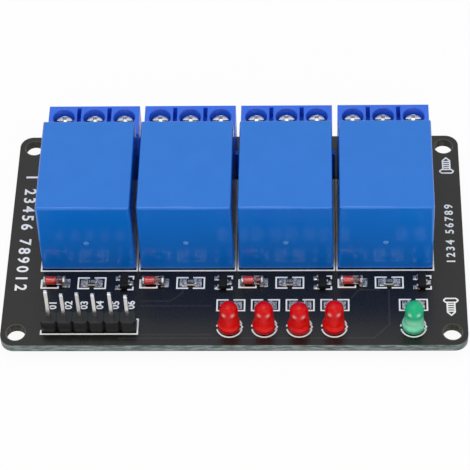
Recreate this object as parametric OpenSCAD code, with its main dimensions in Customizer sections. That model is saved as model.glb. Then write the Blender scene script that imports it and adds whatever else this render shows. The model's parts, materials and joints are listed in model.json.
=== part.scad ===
// Four-channel relay module board.
// Frame: X along the relay row, +Y towards the screw terminals, +Z up from the board.
// Origin: centre of the four mounting holes, in the plane of the board's underside.
// All sizes are in millimetres.

/* [Board] */
// Board thickness
board_t = 1.6; // [1.0:0.1:2.4]
// Radius of the board's corners
board_corner_r = 2.2; // [0.5:0.1:2.4]
// Strip of board left of the relay row
left_strip = 5.5; // [5.2:0.1:12]
// Strip of board right of the relay row
right_strip = 4.9; // [4.8:0.1:12]
// Strip of board in front of the relays
front_strip = 15.4; // [15:0.1:24]
// Strip of board behind the screw terminals
back_strip = 1.6; // [0.4:0.1:8]
// Diameter of the mounting holes
mount_hole_d = 3.1; // [2.6:0.1:3.4]
// From the board's edges to a mounting hole's centre
mount_inset = 2.5; // [2.5:0.1:3.2]

/* [Relays] */
// Gap between neighbouring channels, at their widest part
channel_gap = 0.46; // [0.2:0.02:4]
// Width of a relay case at its foot
relay_w = 15.5; // [14.5:0.1:15.6]
// Length of a relay case at its foot
relay_l = 19.2; // [18.4:0.1:20.5]
// Height of a relay case
relay_case_h = 15.15; // [12:0.05:20]
// Moulding draft of each side of the case, from foot to top
relay_draft = 0.2; // [0.05:0.05:0.5]
// Edge rounding of the case
relay_edge_r = 0.5; // [0.2:0.1:1]
// Air gap between the case and the board
relay_standoff = 0.25; // [0.1:0.05:0.6]
// Wall of the case around the base plate
relay_wall = 0.8; // [0.6:0.1:1.2]
// Thickness of the base plate
relay_base_t = 1.2; // [0.8:0.1:2]
// Diameter of the standing feet under the base plate
relay_foot_d = 1.4; // [0.8:0.1:2]
// From the end of the case to the common pin
relay_com_inset = 2.5; // [2:0.1:3]
// From the common pin to the coil pins, along the relay
relay_coil_step = 2; // [1.5:0.1:3]
// From the other end of the case to the switched contact pins
relay_contact_inset = 2.5; // [2:0.1:3]
// From the sides of the case to the outer pins
relay_side_inset = 1.75; // [1.6:0.05:2.5]
// Diameter of the round coil pins
coil_pin_d = 0.6; // [0.4:0.1:0.8]
// Width of the flat contact pins
contact_pin_w = 1.0; // [0.6:0.1:1.2]
// Thickness of the flat contact pins
contact_pin_t = 0.5; // [0.3:0.1:0.6]
// Diameter of the gate mark on the front of the case
gate_mark_d = 1.2; // [0.6:0.1:2]
// Depth of the gate mark
gate_mark_depth = 0.15; // [0.05:0.05:0.3]
// Height of the gate mark above the foot of the case
gate_mark_h = 6.3; // [3:0.1:10]

/* [Screw terminals] */
// Gap between the relays and the terminal blocks
terminal_gap = 0.25; // [0.1:0.05:3]
// Centre-to-centre distance of the wire ways
way_pitch = 5.08; // [5:0.01:5.2]
// Depth of a terminal block, from relay side to wire side
terminal_d = 8.05; // [7.8:0.05:10]
// Height of a terminal block
terminal_h = 9.6; // [9.4:0.1:12]
// Depth of the flat top of a terminal block
terminal_top_d = 6.2; // [5.4:0.1:7.2]
// Height at which the sloping relay side begins
terminal_shoulder_h = 5.4; // [4.5:0.1:6.5]
// From the wire side to the screw axes
screw_inset = 2.5; // [2.45:0.05:3]
// Diameter of the screw wells
well_d = 3.6; // [3.5:0.1:4]
// Chamfer round the mouth of a screw well
well_chamfer = 0.12; // [0.05:0.01:0.18]
// Wall between a screw well and the slot beside it
top_slot_side = 0.39; // [0.2:0.01:0.45]
// Depth of the slots between the wells
top_slot_depth = 2.6; // [1:0.1:2.8]
// Wall left at the wire side behind each slot
top_slot_wall = 0.42; // [0.3:0.02:1]
// Thickness of the ledge under a screw head
ledge_t = 0.65; // [0.5:0.05:1]
// Wall between neighbouring wire entries at their mouths
entry_rib_w = 1.18; // [1.1:0.02:1.5]
// Wall between neighbouring cage chambers
chamber_rib_w = 0.98; // [0.8:0.02:1.2]
// Wall between the wire side and the cage chambers
entry_depth = 0.6; // [0.5:0.05:1]
// Height of the mouth of a wire entry
entry_mouth_h = 4.3; // [4:0.1:4.6]
// Height of the lower lip of a wire entry above the board
entry_sill_h = 0.6; // [0.4:0.1:0.8]
// Taper of a wire entry on each side, from mouth to chamber
entry_taper = 0.25; // [0.1:0.05:0.4]
// Width of the dovetail at its root
dovetail_w = 1.1; // [0.8:0.1:1.4]
// Reach of the dovetail rib
dovetail_h = 0.45; // [0.2:0.05:0.5]
// From the relay side to the middle of the dovetail
dovetail_inset = 1.2; // [1:0.1:1.3]

/* [Clamps] */
// Play of a screw head in its well, on each side
screw_head_play = 0.2; // [0.1:0.05:0.3]
// Height of a clamp screw's head
screw_head_h = 1.6; // [0.8:0.1:1.8]
// Depth of a screw head below the top of the block
screw_sink = 1.1; // [0.8:0.1:1.8]
// Diameter of a clamp screw's shank
screw_d = 2.5; // [2:0.1:2.6]
// Width of the driver slots
driver_slot_w = 0.6; // [0.4:0.05:0.8]
// Depth of the driver slots
driver_slot_depth = 0.8; // [0.3:0.05:1]
// Length of the short driver slot
driver_cross_l = 2.4; // [1.5:0.1:2.8]
// Height of a clamp cage
cage_h = 3.8; // [3.6:0.1:3.9]
// Thickness of a cage's sides and floor
cage_wall = 0.45; // [0.3:0.05:0.5]
// Thickness of the cage's threaded top
cage_top_t = 0.8; // [0.6:0.1:1]
// Height of an open cage above the board
cage_foot_h = 0.5; // [0.3:0.1:0.6]
// Gap between a contact bar and the sides of its cage
bar_play = 0.2; // [0.1:0.05:0.4]
// Thickness of a contact bar
contact_t = 0.5; // [0.4:0.05:0.6]
// Width of a terminal pin
terminal_pin_w = 1.0; // [0.7:0.1:1]

/* [Pin header] */
// Number of header pins
header_pins_n = 6; // [3:1:6]
// Header pitch
header_pitch = 2.54; // [2:0.02:2.54]
// Depth of the header strip
header_d = 2.4; // [2:0.1:2.6]
// Height of the header strip
header_h = 2.54; // [2:0.02:3]
// Corner notch between header cells
header_notch = 0.4; // [0.2:0.05:0.6]
// Side of a square header pin
header_pin_s = 0.64; // [0.5:0.02:0.7]
// Length of a header pin above the strip
header_pin_up = 6.05; // [4:0.05:9]
// Length of a header pin below the board
header_pin_down = 1.5; // [1:0.1:1.8]
// From the board's front edge to the header's centre line
header_y = 3.75; // [2.5:0.05:4.5]
// Offset of the header from the middle of the first channel
header_shift = 0.7; // [-0.5:0.05:1]

/* [Indicators] */
// Diameter of an indicator's lens
led_d = 3; // [2.6:0.1:3.2]
// Diameter of the lens flange
led_flange_d = 3.8; // [3.4:0.1:4]
// Height of the lens flange
led_flange_h = 1; // [0.6:0.1:1.4]
// Height of the whole lens
led_h = 5.6; // [5.2:0.1:7]
// Air gap between an indicator and the board
led_standoff = 0.35; // [0.1:0.05:0.9]
// Spacing of an indicator's two leads
led_lead_span = 2.54; // [2.4:0.02:2.6]
// Side of the square leads
led_lead_s = 0.5; // [0.4:0.05:0.5]
// Length of a lead below the board
led_lead_down = 1.4; // [1:0.1:1.8]
// Centre-to-centre distance of the channel indicators
led_pitch = 5.6; // [4.2:0.05:5.8]
// From the last channel indicator to the power indicator
power_led_step = 12.65; // [6:0.05:13]
// From the middle of the second channel to the first indicator
first_led_shift = 7.25; // [3:0.05:8]
// From the board's front edge to the indicators
led_y = 3.55; // [2.8:0.05:4]

/* [Surface-mounted parts] */
// From the indicators to their series resistors
led_resistor_step = 4.4; // [3.2:0.05:4.6]
// From the relay fronts to the row of small parts
small_row_step = 2.85; // [2.2:0.05:3.2]
// Length of a chip resistor
chip_l = 2; // [1.6:0.1:2.2]
// Width of a chip resistor
chip_w = 1.25; // [0.8:0.05:1.4]
// Thickness of a chip resistor
chip_t = 0.5; // [0.3:0.05:0.7]
// Length of a chip resistor's end caps
chip_cap_l = 0.4; // [0.2:0.05:0.5]
// Offset of the base resistor from the middle of its channel
resistor_shift = 0.6; // [0:0.05:1]
// Length of a diode
diode_l = 3.6; // [3.2:0.1:3.8]
// Diameter of a diode's end caps
diode_cap_d = 1.5; // [1.3:0.05:1.7]
// Length of a diode's end caps
diode_cap_l = 0.4; // [0.3:0.05:0.6]
// Diameter of a diode's glass
diode_glass_d = 1.4; // [1.2:0.05:1.4]
// Offset of the diode from the middle of its channel
diode_shift = -5.5; // [-5.8:0.05:-4]
// Length of a transistor's body
transistor_l = 2.9; // [2.6:0.1:3.1]
// Width of a transistor's body
transistor_w = 1.3; // [1.1:0.05:1.5]
// Height of a transistor's body
transistor_h = 0.95; // [0.8:0.05:1.1]
// Width of a transistor's lead
transistor_lead_w = 0.4; // [0.3:0.05:0.5]
// Thickness of a transistor's lead
transistor_lead_t = 0.13; // [0.1:0.01:0.2]
// Reach of a transistor's lead from the body
transistor_lead_reach = 0.55; // [0.4:0.05:0.8]
// Spacing of a transistor's paired leads
transistor_lead_pitch = 1.9; // [1.6:0.1:2]
// Offset of the transistor from the middle of its channel
transistor_shift = 5.9; // [4.5:0.05:6]

/* [Soldering] */
// Diameter of a solder joint at the board
solder_d = 1.9; // [1.7:0.1:2.2]
// Height of a solder joint
solder_h = 0.9; // [0.5:0.1:1.1]
// Length of the relay and terminal pins below the board
pin_down = 1.9; // [1.4:0.1:3]
// Play between a pin's corners and its hole in the board
pin_hole_play = 0.13; // [0.05:0.01:0.2]

/* [Clearances] */
// Play of a moving cage in its chamber, on each side
cage_play = 0.15; // [0.1:0.01:0.2]
// Gap under a screw head and at a screw's tip
screw_play = 0.05; // [0.03:0.01:0.1]
// Gap between a cage and what stops it, at both ends of its travel
cage_stop_play = 0.1; // [0.05:0.01:0.15]
// Radial thread play of a screw in its cage
thread_play = 0.05; // [0.03:0.01:0.1]
// Gap around a fixed contact in its housing
contact_play = 0.05; // [0.03:0.01:0.1]
// Gap between the base plate and its case
base_play = 0.1; // [0.05:0.01:0.2]

/* [Hidden] */
$fn = 48;
eps = 0.01;
channels = 4;
ways = 3;
clamps = channels * ways;
leds = channels + 1;

// Board outline
terminal_w = ways * way_pitch;
channel_pitch = max(relay_w, terminal_w + dovetail_h) + channel_gap;
row_w = channels * channel_pitch;
board_w = left_strip + row_w + right_strip;
board_d = front_strip + relay_l + terminal_gap + terminal_d + back_strip;
front_edge = -board_d / 2;

// Rows across the board, from front to back
relay_front = front_edge + front_strip;
terminal_front = relay_front + relay_l + terminal_gap;
terminal_back = terminal_front + terminal_d;
screw_y = terminal_back - screw_inset;
header_mid_y = front_edge + header_y;
led_mid_y = front_edge + led_y;
led_resistor_y = led_mid_y + led_resistor_step;
small_row_y = relay_front - small_row_step;

// Levels of a terminal block, from the board's top upwards
cage_low_top = cage_foot_h + cage_h;
bar_top = cage_low_top - cage_top_t - cage_stop_play;
screw_tip = bar_top + screw_play;
head_foot = terminal_h - screw_sink - screw_head_h;
ledge_top = head_foot - screw_play;
ledge_foot = ledge_top - ledge_t;

// Spaces inside a terminal block, and what fits in them
top_slot_w = way_pitch - well_d - 2 * top_slot_side;
entry_mouth_w = way_pitch - entry_rib_w;
chamber_w = way_pitch - chamber_rib_w;
chamber_l = 2 * (screw_inset - entry_depth);
cage_w = chamber_w - 2 * cage_play;
cage_l = chamber_l - 2 * cage_play;
cage_window_w = cage_w - 2 * cage_wall;
contact_w = cage_window_w - 2 * bar_play;
screw_head_d = well_d - 2 * screw_head_play;
shank_hole_d = screw_d + 2 * cage_play;
leg_back = screw_y - chamber_l / 2 - contact_play;
leg_front = leg_back - contact_t;
bar_back = screw_y + screw_d / 2;
dovetail_flare = dovetail_h / 2;
dovetail_slot_play = 0.08;

// Relay case and base plate
relay_y = relay_front + relay_l / 2;
relay_case_z = board_t + relay_standoff;
recess_w = relay_w - 2 * relay_wall;
recess_l = relay_l - 2 * relay_wall;
base_w = recess_w - 2 * base_play;
base_l = recess_l - 2 * base_play;

// Indicators
led_lens_z = board_t + led_standoff;
led_lead_in = (led_lead_span - led_lead_s) / 2;
led_lead_out = (led_lead_span + led_lead_s) / 2;
led_flat_x = led_d / 2 + 0.15;

// Pin tips are cut to a blunt pyramid of this height
tip_h = 0.35;
tip_share = 0.45;

// ---------------------------------------------------------------- places

// Middle of channel n, counted from 1 at the left
function channel_x(n) = -board_w / 2 + left_strip + (n - 0.5) * channel_pitch;

// Axis of clamp screw n, counted from 1 at the left over all blocks
function clamp_x(n) =
    let (block = ceil(n / ways), way = n - (block - 1) * ways)
    channel_x(block) + (way - (ways + 1) / 2) * way_pitch;

// Header pin n
function header_pin_x(n) =
    channel_x(1) + header_shift + (n - (header_pins_n + 1) / 2) * header_pitch;

// Indicator n; the last one is the power indicator
function led_x(n) =
    channel_x(2) + first_led_shift + (min(n, channels) - 1) * led_pitch
        + (n > channels ? power_led_step : 0);

// Relay pins as [x, y, width, thickness], a width of 0 meaning a round coil pin
function relay_pin_places(n) =
    let (
        x = channel_x(n),
        side = relay_w / 2 - relay_side_inset,
        common_y = relay_front + relay_com_inset,
        coil_y = common_y + relay_coil_step,
        switched_y = relay_front + relay_l - relay_contact_inset
    )
    [
        [x, common_y, contact_pin_w, contact_pin_t],
        [x - side, coil_y, 0, coil_pin_d],
        [x + side, coil_y, 0, coil_pin_d],
        [x - side, switched_y, contact_pin_w, contact_pin_t],
        [x + side, switched_y, contact_pin_w, contact_pin_t]
    ];

// Every pin that goes through the board, as [x, y, width, thickness]
through_pins = concat(
    [for (n = [1:channels]) each relay_pin_places(n)],
    [for (n = [1:clamps]) [clamp_x(n), (leg_back + leg_front) / 2, terminal_pin_w, contact_t]],
    [for (n = [1:header_pins_n]) [header_pin_x(n), header_mid_y, header_pin_s, header_pin_s]],
    [for (n = [1:leds], side = [-1, 1])
        [led_x(n) + side * led_lead_span / 2, led_mid_y, led_lead_s, led_lead_s]]
);

// ---------------------------------------------------------------- shapes

// A pin's section, flat or round
module pin_section(width, thickness) {
    if (width == 0) circle(d = thickness);
    else square([width, thickness], center = true);
}

// A side view of a straight pin with blunt ends, from z = low to z = high
module pin_side(width, low, high) {
    tip = tip_share * width;
    polygon([
        [-tip / 2, low], [tip / 2, low], [width / 2, low + tip_h], [width / 2, high - tip_h],
        [tip / 2, high], [-tip / 2, high], [-width / 2, high - tip_h], [-width / 2, low + tip_h]
    ]);
}

// A square pin whose four sides taper at both ends
module tapered_pin(width, low, high) {
    intersection() {
        rotate([90, 0, 0])
            linear_extrude(width, center = true)
                pin_side(width, low, high);
        rotate([90, 0, 90])
            linear_extrude(width, center = true)
                pin_side(width, low, high);
    }
}

// A rectangle with round corners, centred
module round_rectangle(width, depth, r) {
    square([width - 2 * r, depth], center = true);
    square([width, depth - 2 * r], center = true);
    for (x = [-1, 1], y = [-1, 1])
        translate([x * (width / 2 - r), y * (depth / 2 - r)])
            circle(r);
}

// Side view of a moulding: its sides lean in by draft, and its top corners are round
module drafted_side(width, height, draft, r) {
    slope = sqrt(height * height + draft * draft);
    arc_x = width / 2 - draft + draft * r / height - r * slope / height;
    touch_x = arc_x + r * height / slope;
    touch_z = height - r + r * draft / slope;
    polygon([
        [-width / 2, 0], [width / 2, 0], [touch_x, touch_z], [arc_x, height - r],
        [arc_x, height], [-arc_x, height], [-arc_x, height - r], [-touch_x, touch_z]
    ]);
    for (side = [-1, 1])
        translate([side * arc_x, height - r])
            circle(r);
}

// ---------------------------------------------------------------- board

module pcb() {
    color([0.13, 0.13, 0.13])
        linear_extrude(board_t)
            difference() {
                round_rectangle(board_w, board_d, board_corner_r);
                for (x = [-1, 1], y = [-1, 1])
                    translate([x * (board_w / 2 - mount_inset), y * (board_d / 2 - mount_inset)])
                        circle(d = mount_hole_d);
                for (pin = through_pins)
                    translate([pin[0], pin[1]])
                        circle(d = sqrt(pin[2] * pin[2] + pin[3] * pin[3]) + pin_hole_play);
            }
}

// A solder joint hangs below the board as a hollow-sided cone round its pin
module solder_joint(width, thickness) {
    // Its radius at shares of its height, in parts of the foot's radius
    flank = [[0, 1], [0.12, 0.85], [0.35, 0.65], [0.65, 0.55], [1, 0.5]];
    foot_r = solder_d / 2;
    difference() {
        rotate_extrude()
            polygon([
                [0, 0],
                for (p = flank) [p[1] * foot_r, -p[0] * solder_h],
                [0, -solder_h]
            ]);
        translate([0, 0, -solder_h - eps])
            linear_extrude(solder_h + 2 * eps)
                pin_section(width, thickness);
    }
}

module solder_joints() {
    color([0.75, 0.76, 0.78])
        for (pin = through_pins)
            translate([pin[0], pin[1], 0])
                solder_joint(pin[2], pin[3]);
}

// ---------------------------------------------------------------- relays

// The case is a drafted block with round edges, open below for its base plate
module relay_case(n) {
    color([0.1, 0.37, 0.78])
        translate([channel_x(n), relay_y, relay_case_z])
            difference() {
                relay_block();
                translate([0, 0, relay_base_t / 2 - eps])
                    cube([recess_w, recess_l, relay_base_t + 2 * eps], center = true);
                translate([0, -relay_l / 2, gate_mark_h])
                    rotate([90, 0, 0])
                        cylinder(h = 4 * gate_mark_depth, d = gate_mark_d, center = true);
            }
}

module relay_block() {
    lean = [1 - 2 * relay_draft / relay_w, 1 - 2 * relay_draft / relay_l];
    intersection() {
        linear_extrude(relay_case_h, scale = lean, slices = 1)
            round_rectangle(relay_w, relay_l, relay_edge_r);
        rotate([90, 0, 0])
            linear_extrude(relay_l + 1, center = true)
                drafted_side(relay_w, relay_case_h, relay_draft, relay_edge_r);
        rotate([90, 0, 90])
            linear_extrude(relay_w + 1, center = true)
                drafted_side(relay_l, relay_case_h, relay_draft, relay_edge_r);
    }
}

// The base plate closes the case, holds the pins and stands on four feet
module relay_base(n) {
    color([0.07, 0.2, 0.45])
        difference() {
            translate([channel_x(n), relay_y, 0]) {
                translate([-base_w / 2, -base_l / 2, relay_case_z])
                    cube([base_w, base_l, relay_base_t]);
                for (x = [-1, 1], y = [-1, 1])
                    translate([x * (base_w - relay_foot_d) / 2, y * (base_l - relay_foot_d) / 2, board_t])
                        cylinder(h = relay_standoff + eps, d = relay_foot_d);
            }
            for (pin = relay_pin_places(n))
                translate([pin[0], pin[1], board_t])
                    linear_extrude(relay_standoff + relay_base_t + 1)
                        pin_section(pin[2], pin[3]);
        }
}

module relay_pins() {
    color([0.8, 0.8, 0.82])
        for (n = [1:channels], pin = relay_pin_places(n))
            translate([pin[0], pin[1], -pin_down])
                linear_extrude(pin_down + relay_case_z + relay_base_t)
                    pin_section(pin[2], pin[3]);
}

// ---------------------------------------------------------------- screw terminals

// Side view of a terminal block: upright on the wire side, sloping on the relay side
module terminal_side() {
    polygon([
        [terminal_front, 0], [terminal_back, 0], [terminal_back, terminal_h],
        [terminal_back - terminal_top_d, terminal_h], [terminal_front, terminal_shoulder_h]
    ]);
}

// A dovetail seen from above, its root at x = 0; play widens it into the matching groove
module dovetail(play) {
    polygon([
        [-eps, dovetail_w / 2 - dovetail_flare + play], [dovetail_h + play, dovetail_w / 2 + play],
        [dovetail_h + play, -dovetail_w / 2 - play], [-eps, -dovetail_w / 2 + dovetail_flare - play]
    ]);
}

module terminal_housing(n) {
    x = channel_x(n);
    dovetail_y = terminal_front + dovetail_inset;
    color([0.2, 0.42, 0.9])
        translate([0, 0, board_t])
            difference() {
                union() {
                    translate([x, 0, 0])
                        rotate([90, 0, 90])
                            linear_extrude(terminal_w, center = true)
                                terminal_side();
                    translate([x + terminal_w / 2, dovetail_y, 0])
                        linear_extrude(terminal_shoulder_h)
                            dovetail(0);
                }
                translate([x - terminal_w / 2, dovetail_y, -eps])
                    linear_extrude(terminal_shoulder_h + 1)
                        dovetail(dovetail_slot_play);
                for (way = [1:ways])
                    translate([clamp_x((n - 1) * ways + way), 0, 0])
                        wire_way();
                for (gap = [1:ways - 1])
                    translate([clamp_x((n - 1) * ways + gap) + way_pitch / 2, 0, 0])
                        top_slot();
            }
}

// What one way takes out of the housing: well, screw hole, cage chamber, leg slot and wire entry
module wire_way() {
    translate([0, screw_y, 0]) {
        translate([0, 0, ledge_top])
            cylinder(h = terminal_h, d = well_d);
        translate([0, 0, terminal_h - well_chamfer])
            cylinder(h = well_chamfer + eps, d1 = well_d, d2 = well_d + 2 * (well_chamfer + eps));
        translate([0, 0, ledge_foot - eps])
            cylinder(h = ledge_t + 2 * eps, d = shank_hole_d);
        translate([-chamber_w / 2, -chamber_l / 2, -eps])
            cube([chamber_w, chamber_l, ledge_foot + eps]);
    }
    leg_slot_w = contact_w + 2 * contact_play;
    translate([-leg_slot_w / 2, leg_front - contact_play, -eps])
        cube([leg_slot_w, contact_t + 3 * contact_play, bar_top + contact_play + eps]);
    wire_entry();
}

// The wire entry narrows from its mouth to the chamber on all four sides
module wire_entry() {
    inner_y = terminal_back - entry_depth - eps;
    mouth_y = terminal_back + eps;
    mouth_x = entry_mouth_w / 2;
    mouth_top = entry_sill_h + entry_mouth_h;
    intersection() {
        linear_extrude(terminal_h)
            polygon([
                [-mouth_x, mouth_y], [mouth_x, mouth_y],
                [mouth_x - entry_taper, inner_y], [-mouth_x + entry_taper, inner_y]
            ]);
        rotate([90, 0, 90])
            linear_extrude(2 * entry_mouth_w, center = true)
                polygon([
                    [mouth_y, entry_sill_h], [mouth_y, mouth_top],
                    [inner_y, mouth_top - entry_taper], [inner_y, entry_sill_h + entry_taper]
                ]);
    }
}

// A blind slot in the top, between two wells
module top_slot() {
    slot_back = terminal_back - top_slot_wall;
    slot_front = terminal_back - terminal_top_d + top_slot_wall;
    translate([-top_slot_w / 2, slot_front, terminal_h - top_slot_depth])
        cube([top_slot_w, slot_back - slot_front, top_slot_depth + eps]);
}

// A contact is stamped in one piece: its bar reaches into the cage, its leg ends in the pin
module terminal_contacts() {
    shoulder_h = 1.2;
    foot_h = 0.2;
    pin_foot = -board_t - pin_down;
    color([0.85, 0.82, 0.7])
        for (n = [1:clamps])
            translate([clamp_x(n), 0, board_t]) {
                translate([0, leg_back, 0])
                    rotate([90, 0, 0])
                        linear_extrude(contact_t)
                            polygon([
                                [-contact_w / 2, bar_top], [contact_w / 2, bar_top],
                                [contact_w / 2, shoulder_h], [terminal_pin_w / 2, foot_h],
                                [terminal_pin_w / 2, pin_foot], [-terminal_pin_w / 2, pin_foot],
                                [-terminal_pin_w / 2, foot_h], [-contact_w / 2, shoulder_h]
                            ]);
                translate([-contact_w / 2, leg_back - eps, bar_top - contact_t])
                    cube([contact_w, bar_back - leg_back + eps, contact_t]);
            }
}

// A clamp cage is a bent steel ring round the contact bar, with the screw's thread in its top
module terminal_cage(n) {
    window_h = cage_h - cage_top_t - cage_wall;
    color([0.72, 0.73, 0.76])
        translate([clamp_x(n), screw_y, board_t + cage_foot_h])
            difference() {
                rotate([90, 0, 0])
                    linear_extrude(cage_l, center = true)
                        difference() {
                            translate([0, cage_h / 2])
                                round_rectangle(cage_w, cage_h, cage_wall);
                            translate([-cage_window_w / 2, cage_wall])
                                square([cage_window_w, window_h]);
                        }
                translate([0, 0, cage_h - cage_top_t - eps])
                    cylinder(h = cage_top_t + 2 * eps, d = screw_d + 2 * thread_play);
            }
}

module terminal_screw(n) {
    tip_l = 0.3;
    head_round = 0.25;
    color([0.8, 0.81, 0.83])
        translate([clamp_x(n), screw_y, board_t])
            difference() {
                rotate_extrude()
                    polygon([
                        [0, screw_tip], [screw_d / 2 - tip_l, screw_tip], [screw_d / 2, screw_tip + tip_l],
                        [screw_d / 2, head_foot], [screw_head_d / 2, head_foot],
                        [screw_head_d / 2, head_foot + screw_head_h - head_round],
                        [screw_head_d / 2 - head_round, head_foot + screw_head_h],
                        [0, head_foot + screw_head_h]
                    ]);
                for (l = [screw_head_d + 1, driver_cross_l])
                    rotate(l == driver_cross_l ? 90 : 0)
                        translate([-l / 2, -driver_slot_w / 2, head_foot + screw_head_h - driver_slot_depth])
                            cube([l, driver_slot_w, driver_slot_depth + eps]);
            }
}

// ---------------------------------------------------------------- pin header

// One cell of the strip seen from above, with its corners cut off
module header_cell() {
    x = header_pitch / 2;
    y = header_d / 2;
    polygon([
        [-x, y - header_notch], [-x + header_notch, y], [x - header_notch, y], [x, y - header_notch],
        [x, header_notch - y], [x - header_notch, -y], [header_notch - x, -y], [-x, header_notch - y]
    ]);
}

module header_strip() {
    strip_mid = (header_pin_x(1) + header_pin_x(header_pins_n)) / 2;
    web_d = header_d - 2 * header_notch;
    color([0.1, 0.1, 0.1])
        translate([0, header_mid_y, board_t])
            linear_extrude(header_h)
                difference() {
                    union() {
                        translate([strip_mid, 0])
                            square([header_pins_n * header_pitch, web_d], center = true);
                        for (n = [1:header_pins_n])
                            translate([header_pin_x(n), 0])
                                header_cell();
                    }
                    for (n = [1:header_pins_n])
                        translate([header_pin_x(n), 0])
                            square(header_pin_s, center = true);
                }
}

module header_pins() {
    color([0.85, 0.85, 0.86])
        for (n = [1:header_pins_n])
            translate([header_pin_x(n), header_mid_y, 0])
                tapered_pin(header_pin_s, -header_pin_down, board_t + header_h + header_pin_up);
}

// ---------------------------------------------------------------- indicators

// The stamped lead frame seen from the front; z = 0 is the foot of the lens
module led_frame_side() {
    foot = -led_standoff - board_t - led_lead_down;
    neck_h = 0.4;
    post_h = 0.9;
    cup_h = 2.5;
    cup_rim_x = -0.15;
    cup_rim_h = cup_h - 0.5;
    cup_root_h = cup_h - 1.1;
    post_w = 0.4;
    post_x = led_d / 2 - post_w;
    polygon([
        [led_lead_in, foot], [led_lead_out, foot], [led_lead_out, neck_h], [post_x, post_h],
        [post_x, cup_h], [cup_rim_x, cup_h], [cup_rim_x, cup_rim_h],
        [post_x - post_w, cup_root_h], [led_lead_in, neck_h]
    ]);
    polygon([
        [-led_lead_in, foot], [-led_lead_out, foot], [-led_lead_out, neck_h], [-post_x, post_h],
        [-post_x, cup_h], [post_w - post_x, cup_h], [post_w - post_x, post_h],
        [-led_lead_in, neck_h]
    ]);
}

module led_frame(n) {
    translate([led_x(n), led_mid_y, led_lens_z])
        rotate([90, 0, 0])
            linear_extrude(led_lead_s, center = true)
                led_frame_side();
}

module led_leads() {
    color([0.8, 0.81, 0.83])
        for (n = [1:leds])
            led_frame(n);
}

// A lens is cast round its lead frame: flange with a flat, barrel and dome
module led_lens(n) {
    dome_z = led_h - led_d / 2;
    difference() {
        translate([led_x(n), led_mid_y, led_lens_z]) {
            difference() {
                cylinder(h = led_flange_h, d = led_flange_d);
                translate([led_flat_x, -led_flange_d / 2, -eps])
                    cube([led_flange_d, led_flange_d, led_flange_h + 2 * eps]);
            }
            cylinder(h = dome_z, d = led_d);
            translate([0, 0, dome_z])
                sphere(d = led_d);
        }
        led_frame(n);
    }
}

module channel_led(n) {
    color([0.85, 0.07, 0.07])
        led_lens(n);
}

module power_led() {
    color([0.1, 0.7, 0.4])
        led_lens(leds);
}

// ---------------------------------------------------------------- surface-mounted parts

// Lays a part of channel n on the board in the row of small parts, along X
module in_small_row(n, shift) {
    translate([channel_x(n) + shift, small_row_y, board_t])
        children();
}

module flyback_diode(n) {
    glass_l = diode_l - 2 * diode_cap_l;
    color([0.75, 0.15, 0.1])
        in_small_row(n, diode_shift)
            translate([0, 0, diode_cap_d / 2])
                rotate([0, 90, 0])
                    cylinder(h = glass_l, d = diode_glass_d, center = true);
}

module diode_caps() {
    round_r = 0.1;
    color([0.8, 0.81, 0.83])
        for (n = [1:channels], side = [-1, 1])
            in_small_row(n, diode_shift)
                translate([side * (diode_l / 2 - diode_cap_l), 0, diode_cap_d / 2])
                    rotate([0, side * 90, 0])
                        rotate_extrude()
                            polygon([
                                [0, 0], [diode_cap_d / 2, 0], [diode_cap_d / 2, diode_cap_l - round_r],
                                [diode_cap_d / 2 - round_r, diode_cap_l], [0, diode_cap_l]
                            ]);
}

// Side view of a moulded body that narrows above and below its parting line
module moulded_side(width, height) {
    draft = 0.1;
    polygon([
        [-width / 2 + draft, 0], [-width / 2, height / 2], [-width / 2 + draft, height],
        [width / 2 - draft, height], [width / 2, height / 2], [width / 2 - draft, 0]
    ]);
}

module transistor(n) {
    color([0.12, 0.12, 0.12])
        in_small_row(n, transistor_shift)
            translate([0, 0, transistor_lead_t])
                intersection() {
                    rotate([90, 0, 0])
                        linear_extrude(transistor_l, center = true)
                            moulded_side(transistor_w, transistor_h);
                    rotate([90, 0, 90])
                        linear_extrude(transistor_w, center = true)
                            moulded_side(transistor_l, transistor_h);
                }
}

// A gull-wing lead leaves the body at its parting line and comes down to the board
module transistor_lead() {
    t = transistor_lead_t;
    x = transistor_w / 2;
    z = t + transistor_h / 2;
    reach = transistor_lead_reach;
    shoulder = 0.1;
    heel = 0.15;
    rotate([90, 0, 0])
        linear_extrude(transistor_lead_w, center = true)
            polygon([
                [x, z + t / 2], [x + shoulder + t, z + t / 2], [x + heel + t, t], [x + reach, t],
                [x + reach, 0], [x + heel, 0], [x + shoulder, z - t / 2], [x, z - t / 2]
            ]);
}

module transistor_leads() {
    color([0.8, 0.81, 0.83])
        for (n = [1:channels])
            in_small_row(n, transistor_shift) {
                transistor_lead();
                for (side = [-1, 1])
                    translate([0, side * transistor_lead_pitch / 2, 0])
                        rotate(180)
                            transistor_lead();
            }
}

// Places a child at every chip resistor, one per transistor and one per indicator
module at_chip_resistors() {
    for (n = [1:channels])
        in_small_row(n, resistor_shift)
            children();
    for (n = [1:leds])
        translate([led_x(n), led_resistor_y, board_t])
            children();
}

module chip_core() {
    skin = 0.04;
    translate([0, 0, chip_t / 2])
        cube([chip_l - 2 * skin, chip_w - 2 * skin, chip_t - 2 * skin], center = true);
}

module chip_resistors() {
    color([0.15, 0.15, 0.16])
        at_chip_resistors()
            chip_core();
}

module resistor_caps() {
    color([0.82, 0.82, 0.84])
        at_chip_resistors()
            for (side = [-1, 1])
                difference() {
                    translate([side * (chip_l - chip_cap_l) / 2, 0, chip_t / 2])
                        cube([chip_cap_l, chip_w, chip_t], center = true);
                    chip_core();
                }
}

// ---------------------------------------------------------------- the board, piece by piece

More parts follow.
